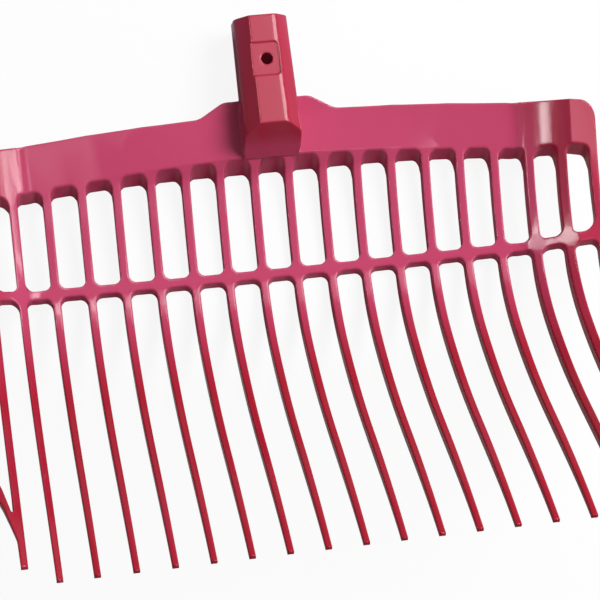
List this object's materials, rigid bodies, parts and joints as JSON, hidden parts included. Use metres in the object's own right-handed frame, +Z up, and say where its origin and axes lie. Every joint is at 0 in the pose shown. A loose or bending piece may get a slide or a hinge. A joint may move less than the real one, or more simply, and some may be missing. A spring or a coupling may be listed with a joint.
{
  "type": "manure fork head",
  "caption": "One-piece plastic manure fork head with a slotted blade, curved tines, bent-up wings and a handle socket.",
  "frame": {"origin": "on the floor under the middle of the head's bounding box, with the head lying on its back as it comes to rest", "axes": "+X across the head, +Y towards the handle socket, +Z up, out of the hollow side the tines curve towards"},
  "size_m": [0.4102, 0.322, 0.1781],
  "materials": {
    "red_plastic": "satin-gloss moulded plastic, coloured through"
  },
  "bodies": {
    "root": {"fork_head": "red_plastic"}
  },
  "joints": []
}
